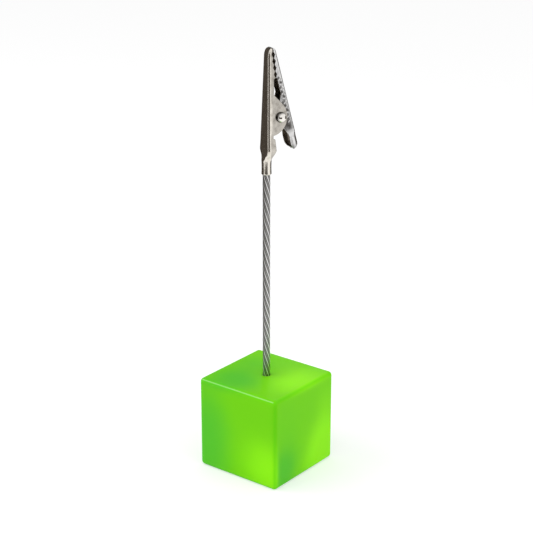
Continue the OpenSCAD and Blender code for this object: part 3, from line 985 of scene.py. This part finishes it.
@dataclass
class FixedJaw(Jaw):
    """The fixed jaw: a tapering channel with ears, toothed tip, flared wings and the stem's crimp barrel."""

    fold: Fold = Fold(SHEET, rim_cut=0.09)
    shift: float = 0.05
    back: float = 3.65
    tip_turn: tuple[float, float] = (1.1, 2.1)
    lean: float = 1.4
    tip_bend_r: float = 0.34
    width: float = 4.0
    tip_width: float = 2.6
    bend_r: float = 0.75
    window_wall: float = 1.7
    ear_r: float = 4.65
    ear_nose: float = 1.9
    ear_low: float = -74.0
    ear_slope: float = 45.0
    notch_wall: float = 1.62
    notch_low: float = -5.3
    notch_gap: float = 0.06
    wing_wall: float = 2.45
    wing_falls: tuple[tuple[float, float], ...] = ((-7.4, 0.06), (-6.0, 0.24), (-5.5, 0.34))
    neck_z: float = -6.375
    wing_z: float = -8.5
    wing_flare: float = 0.1
    neck_ease: float = 1.3
    barrel_r: float = 1.31
    barrel_len: float = 3.7
    barrel_soft: tuple[float, float] = (0.12, 0.08)
    pivot_rise: float = 14.8
    crimp_depth: float = 0.06
    seam: float = 0.2
    # Painted shade on the outer walls: darker by height through the table below.
    wall_painted_shade: float = 0.5
    painted_shade_ramp: float = 6.0
    painted_shade_heights: tuple[float, ...] = (-11.5, -10.0, -8.0, -5.0)
    painted_shade_shares: tuple[float, ...] = (1.2, 1.0, 0.6, 1.0)

    def outline(self) -> np.ndarray:
        """Free edge of the side walls: wing, notch, round ear, straight rise, window and teeth.

        The ear is the arc y = r cos q - b, z = r sin q about a point b behind the rivet's axis.

        Returns:
            Z and Y of the corners, in rising order of Z.
        """
        behind = self.ear_r - self.ear_nose
        q = np.radians(np.linspace(self.ear_low, self.ear_slope, 60))
        arc = np.stack([self.ear_r * np.sin(q), self.ear_r * np.cos(q) - behind], axis=1)
        sill = self.window_wall - self.back
        run = (arc[-1, 1] - sill) / math.tan(math.radians(self.ear_slope))
        notch = self.notch_wall - self.back
        wing = self.wing_wall - self.back
        low = [[self.wing_z, wing], *([z, wing - fall] for z, fall in self.wing_falls)]
        gap = [[self.notch_low, notch], [arc[0, 0] - self.notch_gap, notch]]
        teeth = self.bite.teeth(self.shift)
        window = [[arc[-1, 0] + run, sill], [teeth[0, 0] - self.bite.sill_gap, sill]]
        return np.concatenate([low, gap, arc, window, teeth])

    def half_width(self, z: np.ndarray) -> np.ndarray:
        """Half of the outer width at heights: narrower toward the tip, flaring smoothly into the wings."""
        slope = (self.width - self.tip_width) / 2 / self.bite.reach
        return self.width / 2 - z * slope + self.wing_flare * smooth_step(z, self.neck_z, self.wing_z)

    def channel(self) -> np.ndarray:
        """Half loops of the channel from the wings up to the lip, in the clip's frame.

        Returns:
            Station by point by three numbers.
        """
        corners = self.outline()
        z = rows_through(corners, self.wing_z, self.turn_z, 0.11)
        spine, inward = self.backbone(z)
        f = np.linspace(0.0, 1.0, len(spine) - len(z) + 1)[1:]
        edge_z = np.concatenate([z, z[-1] + f * (self.bite.reach - self.tip_bend_r - z[-1])])
        edge = np.stack([np.interp(edge_z, corners[:, 0], corners[:, 1]), edge_z], axis=1)
        bend = np.full(len(spine), self.bend_r)
        bend[len(z) :] += f * (self.tip_bend_r - self.bend_r)
        x, p = self.fold.loops(Section(spine, inward, edge, self.half_width(spine[:, 1]), bend))
        return turned(np.concatenate([x[:, :, None], p], axis=2), -self.lean, (1, 2))

    def ring(self, base: np.ndarray, radius: np.ndarray) -> np.ndarray:
        """Half loops wrapped round the stem: each point keeps its share of the half's length as an angle.

        Args:
            base: The channel's lowest half loop.
            radius: Outer radius at each station.

        Returns:
            X and Y, station by point.
        """
        count = self.fold.columns
        end = 180 - math.degrees(math.asin(self.seam / 2 / self.barrel_r))
        faces = (base[:count], base[: count + 1 : -1])
        lengths = (np.linalg.norm(np.diff(face, axis=0), axis=1) for face in faces)
        shares = [np.concatenate([[0.0], np.cumsum(step)]) / step.sum() for step in lengths]
        angle = np.radians(np.concatenate([shares[0] * end, [end, end], shares[1][::-1] * end]) - 90)
        cut = self.fold.rim_cut
        depth = np.repeat([0.0, cut, self.fold.thick - cut, self.fold.thick], [count, 1, 1, count])
        grow = np.concatenate([np.ones(count + 1), np.zeros(count + 1)])
        reach = self.barrel_r - depth[None, :] + grow[None, :] * (radius - self.barrel_r)[:, None]
        return np.stack([reach * np.cos(angle), reach * np.sin(angle) - self.frame.pivot_off], axis=2)

    def socket(self, base: np.ndarray) -> np.ndarray:
        """Half loops of the neck and the barrel: the wings' section runs over smoothly into the round barrel.

        With u from 0 to 1 down the neck and m = u ^ ease, a point is (1 - m) * wing section + m * ring. The
        barrel is drawn in along its middle by the crimp and has a softened lower edge.

        Args:
            base: The channel's lowest half loop.

        Returns:
            Station by point by three numbers, from the barrel's lower end upward.
        """
        top = self.barrel_len - self.pivot_rise
        u = np.linspace(0.0, 1.0, 26)[1:]
        share = (u**self.neck_ease)[:, None, None]
        plan = (1 - share) * base[None, :, :2] + share * self.ring(base, np.full(len(u), self.barrel_r))
        level = (1 - u)[:, None] * base[None, :, 2] + u[:, None] * top
        neck = np.concatenate([plan, level[:, :, None]], axis=2)
        soft_len, soft_depth = self.barrel_soft
        above = np.linspace(0.0, self.barrel_len - soft_len, 22)[1:]
        d = np.concatenate([above, self.barrel_len - np.array([soft_len / 2, 0.0])])
        crimp = self.crimp_depth * np.clip(1 - (2 * d / self.barrel_len - 1) ** 2, 0.0, 1.0)
        soft = np.clip(1 - (self.barrel_len - d) / soft_len, 0.0, 1.0) ** 2 * soft_depth
        round_plan = self.ring(base, self.barrel_r - crimp - soft)
        height = np.broadcast_to((top - d)[:, None, None], (*round_plan.shape[:2], 1))
        return np.concatenate([neck, np.concatenate([round_plan, height], axis=2)])[::-1]

    def build(self) -> None:
        """Make the jaw with painted shade on its outer walls by the table's shares; set it in place of its
        solid.
        """
        channel = self.channel()
        half = np.concatenate([self.socket(channel[0]), channel])
        marks = self.fold.marks(len(half))
        outer = marks["inner"][0] == 0.0
        wall = self.wall_painted_shade * np.minimum(1.0, self.painted_shade_ramp * self.fold.climb()) * outer
        marks["painted_light"] = np.interp(half[:, :1, 2], self.painted_shade_heights, self.painted_shade_shares) * wall
        self.set_in(half, [0, len(half) - 1], marks, Body.STAND, "fixed_jaw")


@dataclass(frozen=True)
class Strokes:
    """The row of pressed grip marks: slanted pairs, a bright stroke and one painted dark as shade, leaning by
    turns.
    """

    count: int = 10
    pitch: float = 1.25
    depth: float = 0.14
    dark_depth: float = 0.7
    leans: tuple[float, float] = (30.0, -34.0)
    bright_size: tuple[float, float] = (0.21, 0.55)
    dark_size: tuple[float, float] = (0.27, 0.5)
    dark_off: float = 0.6
    below_teeth: float = 0.9
    above_bend: float = 0.55

    def shares(self, y: np.ndarray, z: np.ndarray) -> tuple[np.ndarray, np.ndarray]:
        """How deep the strokes are, as shares of the full depth.

        In its own turned axes a stroke is exp(-((across - off) / wide)^2 - (along / long)^4), with off = 0
        for the bright ones.

        Args:
            y: Distances of points from the row's line.
            z: Heights of the points above the first pair.

        Returns:
            Shares for the bright and for the dark strokes at each point.
        """
        number = np.arange(self.count)
        z = z[..., None] + number * self.pitch
        y = y[..., None]
        lean = np.radians(np.where(number % 3 == 1, self.leans[1], self.leans[0]))
        across = z * np.cos(lean) + y * np.sin(lean)
        along = y * np.cos(lean) - z * np.sin(lean)
        pair = []
        for off, (wide, long) in ((0.0, self.bright_size), (self.dark_off, self.dark_size)):
            stroke = np.exp(-(((across - off) / wide) ** 2) - (along / long) ** 4)
            pair.append(stroke.max(axis=-1))
        return pair[0], pair[1]


@dataclass
class MovingJaw(Jaw):
    """The moving jaw: a straight channel with teeth, inner ears, grip marks and a spoon-shaped thumb tail."""

    shift: float = -0.05
    back: float = 3.32
    tip_turn: tuple[float, float] = (0.6, 0.75)
    tip_bend: float = 0.9
    turn: float = 15.0
    width: float = 3.016
    bend_r: float = 0.5
    window_wall: float = 1.5
    window_low: float = 5.5
    ear_r: float = 1.5
    tail_wall: float = 2.25
    tail_len: float = 10.1
    tail_r: float = 1.25
    tail_fall: float = 1.9
    tail_slant: float = 1.1
    tail_w: float = 4.0
    tail_bend_r: float = 1.4
    tail_hook: float = 0.1
    flare_z: float = -4.65
    spoon_z: float = -6.3
    strokes: Strokes = Strokes()
    # Painted shade on the outer wall: by height through the table, at the strokes, toward the spoon's rims
    # and at its end.
    painted_shade_heights: tuple[float, ...] = (-3.0, -1.0, 2.5, 7.5)
    painted_shade_shares: tuple[float, ...] = (1.0, 0.78, 0.72, 0.25)
    stroke_edge_shade: float = 1.6
    dark_shade: float = 1.2
    gleam: float = 0.9
    lip_shade: float = 0.35
    lip_from: float = 0.05
    lip_run: float = 0.3
    end_shade: float = 0.5
    shade_z: float = -7.9
    shade_run: float = 1.1

    def outline(self) -> np.ndarray:
        """Free edge of the side walls: falling tail, straight runs to the round ear, window and teeth.

        With a depth r and a length fall * r the tail's edge is the rounded slant (rim - r (1 - cos q ^ p),
        fall * r (1 - sin q ^ p) - length); p = 1 is a quarter ellipse, p = 2 a straight slant.

        Returns:
            Z and Y of the corners, in rising order of Z.
        """
        rim = self.tail_wall - self.back
        q = np.radians(np.linspace(90.0, 0.0, 24))
        fall = self.tail_fall * self.tail_r
        across, down = np.cos(q) ** self.tail_slant, np.sin(q) ** self.tail_slant
        tail = np.stack([fall * (1 - down) - self.tail_len, rim - self.tail_r * (1 - across)], axis=1)
        z = np.linspace(-self.tail_len / 2, self.window_low, 90)
        knee = self.ear_r / 2
        sill = self.window_wall - self.back
        straight = np.interp(z, [-self.tail_len / 2, -knee, knee, self.window_low], [rim, knee, knee, sill])
        ear = np.where(np.abs(z) > self.ear_r, -np.inf, np.sqrt(np.clip(self.ear_r**2 - z**2, 0.0, None)))
        middle = np.stack([z, np.maximum(straight, ear)], axis=1)
        teeth = self.bite.teeth(self.shift)
        return np.concatenate([tail, middle, [[teeth[0, 0] - self.bite.sill_gap, sill]], teeth])

    def flare(self, z: np.ndarray) -> np.ndarray:
        """How far the tail has widened at heights: 0 above the flare, 1 in the spoon, smooth between."""
        return smooth_step(z, self.flare_z, self.spoon_z)

    def painted_darkening(
        self, level: np.ndarray, p: np.ndarray, drop: np.ndarray, bright: np.ndarray, dark: np.ndarray
    ) -> np.ndarray:
        """How much painted shade darkens the outer side wall.

        The channel's wall is darkened as painted shade by the table's shares, less in the bright strokes, and
        more at their edges and in the dark ones, as shade in the pressed marks. The painted shade stops above
        the flare, whose walls stay bright. Below, the spoon's walls are painted darker toward their rims, and
        its end below shade_z.

        Args:
            level: Height of the back at each station, as a column.
            p: Y and Z of the wall's points.
            drop: Height of the points once the tail is closed.
            bright: Depth of the bright strokes.
            dark: Depth of the dark strokes.

        Returns:
            0 for none to 1 for full painted shade, at each point of the wall.
        """
        tall = np.clip((p[..., 0] + self.back) / (2 * self.bend_r), 0.0, 1.0)
        early = self.flare(level - self.gleam)
        lip = np.clip((self.fold.climb()[self.fold.outer_wall] - self.lip_from) / self.lip_run, 0.0, 1.0)
        lip[-1] = 0.0
        painted_light = tall * np.interp(p[..., 1], self.painted_shade_heights, self.painted_shade_shares) * (1 - early) * (1 - bright)
        painted_light += tall * (self.stroke_edge_shade * bright * (1 - bright) + self.dark_shade * dark * (1 - early))
        painted_light += self.lip_shade * self.flare(level + self.gleam) * lip
        painted_light += self.end_shade * np.clip((self.shade_z - drop) / self.shade_run, 0.0, 1.0)
        return np.clip(painted_light, 0.0, 1.0)

    def half(self) -> tuple[np.ndarray, dict[str, np.ndarray]]:
        """Half loops from the tail's end to the lip, in the clip's frame.

        The tail widens and its folds grow rounder down the flare, and its walls hook inward by hook * g^2,
        with g from 0 at the fold to 1 at the rim. It is closed by turning the half section by the angle b
        about its middle: x = s cos b, z = end - s sin b for a point at the sideways distance s.

        Returns:
            Points, station by point by three numbers, and the marks that the finish reads.
        """
        corners = self.outline()
        end = self.tail_w / 2 - self.tail_len
        z = rows_through(corners, end, self.turn_z, 0.1)
        b = np.radians(np.linspace(90.0, 0.0, 40))[:-1]
        level = np.concatenate([np.full(len(b), end), z])
        wall_z = np.concatenate([end - self.tail_w / 2 * np.sin(b), z])
        spine, inward = self.backbone(level)
        wide = self.flare(spine[:, 1])
        bend = self.bend_r + wide * (self.tail_bend_r - self.bend_r)
        bend[len(level) :] = self.tip_bend * self.tip_turn[0]
        edge = np.stack([np.interp(wall_z, corners[:, 0], corners[:, 1]), level], axis=1)
        f = np.linspace(0.0, 1.0, len(spine) - len(level) + 1)[1:, None]
        corner = np.array([self.lip_y, self.bite.reach - bend[-1]])
        edge = np.concatenate([edge, (1 - f) * edge[-1] + f * corner])
        half_w = (self.width + wide * (self.tail_w - self.width)) / 2
        x, p = self.fold.loops(Section(spine, inward, edge, half_w, bend))
        x -= self.tail_hook * wide[:, None] * self.fold.climb() ** 2
        wall = self.fold.outer_wall
        first = self.bite.low_z - self.strokes.below_teeth
        row_y = self.bend_r + self.strokes.above_bend - self.back
        bright, dark = self.strokes.shares(p[:, wall, 0] - row_y, p[:, wall, 1] - first)
        x[:, wall] -= self.strokes.depth * np.maximum(bright, self.strokes.dark_depth * dark)
        turn = np.concatenate([b, np.zeros(len(spine) - len(b))])[:, None]
        drop = p[:, :, 1] - x * np.sin(turn)
        marks = self.fold.marks(len(spine))
        marks["painted_light"] = np.zeros(x.shape)
        marks["painted_light"][:, wall] = self.painted_darkening(spine[:, 1:], p[:, wall], drop[:, wall], bright, dark)
        # Polish (no mottle, less roughness) on the bright strokes and the flare's middle; the lighter colour
        # is partly a painted highlight.
        polish = np.maximum(bright, (4 * wide * (1 - wide))[:, None])
        marks["rim"][:, wall] = np.maximum(marks["rim"][:, wall], polish)
        points = np.stack([x * np.cos(turn), -p[:, :, 0], drop], axis=2)
        return turned(points, self.turn, (1, 2)), marks

    def build(self) -> None:
        """Make the jaw and set it in place of its solid."""
        half, marks = self.half()
        self.set_in(half, [len(half) - 1], marks, Body.MOVING_JAW, "moving_jaw")


@dataclass
class PivotRivet:
    """The rivet with a domed head at each end."""

    finish: NickelFinish
    frame: ClipFrame = ClipFrame()
    shank_r: float = 0.6
    shank_ring: float = 0.6
    head_r: float = 1.38
    head_h: float = 1.28
    head_edge: tuple[float, float] = (0.02, 0.05)
    seat: float = 2.082
    sides: int = 72
    painted_shade: float = 1.0
    painted_shade_from: float = 0.64
    painted_shade_run: float = 0.3

    def build(self) -> None:
        """Turn the profile about the hinge's axis: dome (seat + h cos q, r sin q), flat seat and shank."""
        q = np.radians(np.linspace(0.0, 90.0, 30))
        lift, inset = self.head_edge
        dome = np.stack([self.seat + lift + self.head_h * np.cos(q), self.head_r * np.sin(q)], axis=1)
        seat = [[self.seat, self.head_r - inset], [self.seat, self.shank_r], [self.shank_ring, self.shank_r]]
        one = np.concatenate([dome, seat])
        profile = np.concatenate([one, (one * [-1.0, 1.0])[::-1]])
        around = circle_angles(self.sides)[None, :]
        shape = (len(profile), self.sides)
        x = np.broadcast_to(profile[:, :1], shape)
        rings = np.stack([x, profile[:, 1:] * np.cos(around), profile[:, 1:] * np.sin(around)], axis=2)
        # Painted shade: the dome darkens toward its foot, in a ring round the head.
        foot = np.clip((profile[:, 1:] / self.head_r - self.painted_shade_from) / self.painted_shade_run, 0.0, 1.0)
        marks = {"rim": np.ones(shape), "painted_light": np.broadcast_to(self.painted_shade * foot, shape)}
        points, faces = self.frame.place(rings), grid_faces(*shape)
        rivet = make_piece("clip_rivet", points, faces, self.finish.material(), marks, crease=50.0)
        attach(rivet, Body.STAND, ["pivot_rivet"])


@dataclass
class TorsionSpring:
    """The spring round the rivet that presses the jaws shut, one leg on each jaw's back."""

    finish: NickelFinish
    frame: ClipFrame = ClipFrame()
    wire_r: float = 0.125
    sides: int = 12
    coil_r: float = 0.925
    coil_side: float = 1.053
    leg_tilt: tuple[float, float] = (22.0, 35.0)
    leg_seat: tuple[float, float] = (3.195, 2.865)
    lean: float = 1.4
    turn: float = 15.0
    coil_turns: int = 2

    def path(self) -> np.ndarray:
        """Middle line: a leg, the coil x = side * (2 f - 1), (y, z) = r (cos a, sin a), and the other leg.

        Returns:
            Points in the clip's frame.
        """
        first, last = (math.radians(v) for v in self.leg_tilt)
        sweep = math.pi - first - last + 2 * math.pi * self.coil_turns
        f = np.linspace(0.0, 1.0, 150)
        angle = math.pi - first - sweep * f
        across = self.coil_side * (2 * f - 1)
        coil = np.stack([across, self.coil_r * np.cos(angle), self.coil_r * np.sin(angle)], axis=1)
        ways = np.array([[-math.sin(first), -math.cos(first)], [math.sin(last), -math.cos(last)]])
        lean, turn = math.radians(self.lean), math.radians(self.turn)
        faces = np.array([[-math.cos(lean), math.sin(lean)], [math.cos(turn), math.sin(turn)]])
        roots = coil[[0, -1], 1:]
        size = (np.array(self.leg_seat) - np.sum(roots * faces, axis=1)) / np.sum(ways * faces, axis=1)
        g = np.linspace(0.0, 1.0, 16)[1:, None, None]
        legs = np.zeros((len(g), 2, 3))
        legs[:, :, 0] = [-self.coil_side, self.coil_side]
        legs[:, :, 1:] = roots[None] + g * (size[:, None] * ways)[None]
        return np.concatenate([legs[::-1, 0], coil, legs[:, 1]])

    def build(self) -> None:
        """Make the spring in place of its solid."""
        path = self.path()
        along = unit(np.gradient(path, axis=0))
        rings = tube(path, unit([1.0, 0.0, 0.0] - along[:, :1] * along), self.wire_r, self.sides)
        points, faces = self.frame.place(rings), closed_faces(*rings.shape[:2])
        spring = make_piece("clip_spring", points, faces, self.finish.material(), {}, crease=60.0)
        ends = self.frame.place(np.array([[-self.coil_side, 0.0, 0.0], [self.coil_side, 0.0, 0.0]])) * MM
        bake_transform(spring)
        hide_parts("torsion_spring")
        LOG.info("%s winds between the jaws: %d faces", spring.name, len(spring.data.polygons))


# Studio


@dataclass(frozen=True)
class Card:
    """A dark card, seen in reflections only: a strip along the floor that stands up as a low wall."""

    name: str
    start: float
    stop: float
    near: float = 130.0
    far: float = 250.0
    height: float = 130.0


@dataclass(frozen=True)
class Lamp:
    """A soft box: direction from the object, distance, size, power and whether mirrors show it."""

    name: str
    azimuth: float
    elevation: float
    distance: float
    size: float
    power: float
    mirrored: bool = False


@dataclass
class Studio:
    """Pale floor, soft light, dark cards for the metal to reflect, and camera; angles are from the camera."""

    azimuth: float = 37.96
    elevation: float = 19.97
    distance: float = 382.6
    aim_z: float = 55.9
    lens: float = 99.88
    sensor: float = 36.0
    sky: float = 0.704
    floor_tone: float = 0.7
    floor_lift: float = 0.454
    floor_rings: tuple[float, ...] = (0.5, 200.0, 600.0, 2500.0)
    floor_sides: int = 64
    card_lift: float = 0.8
    card_steps: int = 24
    card_tone: tuple = (0.075, 0.064, 0.054, 1.0)
    cards: tuple[Card, ...] = (
        Card("card_left", -180.0, -76.0, 60.0, 250.0, 480.0),
        Card("card_fold_left", -76.0, -57.0, 240.0, 250.0, 300.0),
        Card("card_fold_front", -38.0, -22.0, 240.0, 250.0, 200.0),
        Card("card_front", -22.0, 28.0, 205.0),
        Card("card_right", 94.0, 166.0, 212.0),
    )
    lamps: tuple[Lamp, ...] = (
        Lamp("lamp_left", -75.0, 20.0, 520.0, 420.0, 0.9),
        Lamp("lamp_right", 55.0, 20.0, 560.0, 440.0, 0.8),
        Lamp("lamp_edge", -97.0, 48.0, 520.0, 160.0, 0.25, True),
    )

    def toward(self, azimuth: np.ndarray | float) -> np.ndarray:
        """X and Y of the level direction at degrees from the camera, positive to the camera's right."""
        angle = np.radians(self.azimuth) + np.radians(azimuth)
        return np.stack([np.sin(angle), -np.cos(angle)], axis=-1)

    def hang(
        self, name: str, data: bpy.types.ID, azimuth: float, elevation: float, distance: float
    ) -> bpy.types.Object:
        """Set a lamp or camera off from the aim point and turn it to face that point.

        Args:
            name: Name of the object.
            data: The lamp's or camera's data.
            azimuth: Angle from the camera in degrees.
            elevation: Angle above the horizon in degrees.
            distance: Distance from the aim point in millimetres.

        Returns:
            The new object, linked to the scene.
        """
        level = self.toward(azimuth) * math.cos(math.radians(elevation))
        way = np.array([*level, math.sin(math.radians(elevation))])
        right = unit(np.array([-way[1], way[0], 0.0]))
        above = np.cross(way, right)
        spot = (np.array([0.0, 0.0, self.aim_z]) + distance * way) * MM
        matrix = np.eye(4)
        matrix[:3] = np.column_stack([right, above, way, spot])
        made = bpy.data.objects.new(name, data)
        bpy.context.scene.collection.objects.link(made)
        made.matrix_world = Matrix(matrix.tolist())
        return made

    def camera(self) -> None:
        """Put the camera where the photograph was taken from."""
        lens = bpy.data.cameras.new("camera")
        lens.lens = self.lens
        lens.sensor_width = self.sensor
        lens.clip_start = 0.01
        bpy.context.scene.camera = self.hang("camera", lens, 0.0, self.elevation, self.distance)

    def seen(self, graph: Graph) -> Signal:
        """Tell rays that look from light that falls on things.

        Args:
            graph: The graph to add the nodes to.

        Returns:
            1 for rays from the camera, from mirrors and through glass, and 0 for the others.
        """
        kinds = ("Camera", "Glossy", "Transmission")
        rays = [graph.add("ShaderNodeLightPath", {}, {}, f"Is {kind} Ray") for kind in kinds]
        return graph.add("ShaderNodeClamp", {}, {"Value": rays[0] + rays[1] + rays[2]})

    def floor(self) -> None:
        """A pale disc, white to the camera and in reflections, that keeps the object's shadow."""
        paint = bpy.data.materials.new("pale_floor")
        graph = Graph(paint)
        matt = graph.add("ShaderNodeBsdfDiffuse", {}, {"Color": (self.floor_tone,) * 3 + (1.0,)})
        lift = graph.add("ShaderNodeEmission", {}, {"Strength": self.seen(graph) * self.floor_lift})
        graph.close(graph.add("ShaderNodeAddShader", {}, {0: matt, 1: lift}))
        radius = np.array(self.floor_rings)[:, None]
        turn = circle_angles(self.floor_sides)[None, :]
        disc = np.stack([radius * np.cos(turn), radius * np.sin(turn), 0 * radius * turn], axis=2)
        faces = grid_faces(*disc.shape[:2]) + [list(range(self.floor_sides))]
        floor = make_piece("studio_floor", disc, faces, paint, {})

    def hang_cards(self) -> None:
        """Carry each card's bent profile (along the floor, then up) round its arc, for mirrors only."""
        paint = bpy.data.materials.new("dark_card")
        graph = Graph(paint)
        graph.close(graph.add("ShaderNodeEmission", {}, {"Color": self.card_tone, "Strength": 1.0}))
        for card in self.cards:
            way = self.toward(np.linspace(card.start, card.stop, self.card_steps))
            out = np.array([card.near, card.far, card.far])
            rise = np.array([self.card_lift, self.card_lift, card.height])
            plan = out[None, :, None] * way[:, None, :]
            points = np.concatenate([plan, np.broadcast_to(rise[None, :, None], (len(way), 3, 1))], axis=2)
            start = np.arange(len(way) - 1)[:, None] * 3 + np.arange(2)[None, :]
            faces = np.stack([start, start + 1, start + 4, start + 3], axis=-1).reshape(-1, 4).tolist()
            made = make_piece(card.name, points, faces, paint, {})
            made.visible_camera = made.visible_diffuse = made.visible_shadow = False
            made.visible_transmission = made.visible_volume_scatter = False

    def light(self) -> None:
        """Soft boxes and an even sky that shows white."""
        for lamp in self.lamps:
            box = bpy.data.lights.new(lamp.name, "AREA")
            box.size = lamp.size * MM
            box.energy = lamp.power
            made = self.hang(lamp.name, box, lamp.azimuth, lamp.elevation, lamp.distance)
            made.visible_glossy = lamp.mirrored
        world = bpy.data.worlds.new("sky")
        graph = Graph(world)
        level = self.sky + (1.0 - self.sky) * self.seen(graph)
        sky = graph.add("ShaderNodeBackground", {}, {"Color": (1.0,) * 4, "Strength": level})
        graph.close(sky, "ShaderNodeOutputWorld")
        bpy.context.scene.world = world

    def build(self) -> None:
        """Set up the camera, floor, cards and light."""
        bpy.context.scene.view_settings.view_transform = "Standard"
        self.camera()
        self.floor()
        self.hang_cards()
        self.light()
        LOG.info("studio ready: %d lamps, %d cards", len(self.lamps), len(self.cards))


def main() -> None:
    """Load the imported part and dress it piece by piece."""
    logging.basicConfig(level=logging.INFO, format="%(name)s: %(message)s")
    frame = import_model()
    Studio().build()
    ResinBase().build()
    RopeStem().build(frame["nodes"])
    FixedJaw(NickelFinish("nickel_fixed_jaw")).build()
    # The moving jaw's inside colour, a brown, is painted shade.
    grey, dim, brown = linear(222, 221, 220), linear(128, 127, 126), linear(116, 101, 80)
    MovingJaw(NickelFinish("nickel_moving_jaw", grey, dim, brown, roughness=0.24)).build()
    bright = linear(238, 234, 228)
    PivotRivet(NickelFinish("nickel_rivet", bright, roughness=0.08, brushing=0.03, mottling=0.05)).build()
    TorsionSpring(NickelFinish("spring_steel", linear(150, 146, 140), roughness=0.28)).build()


if __name__ == "__main__":
    main()
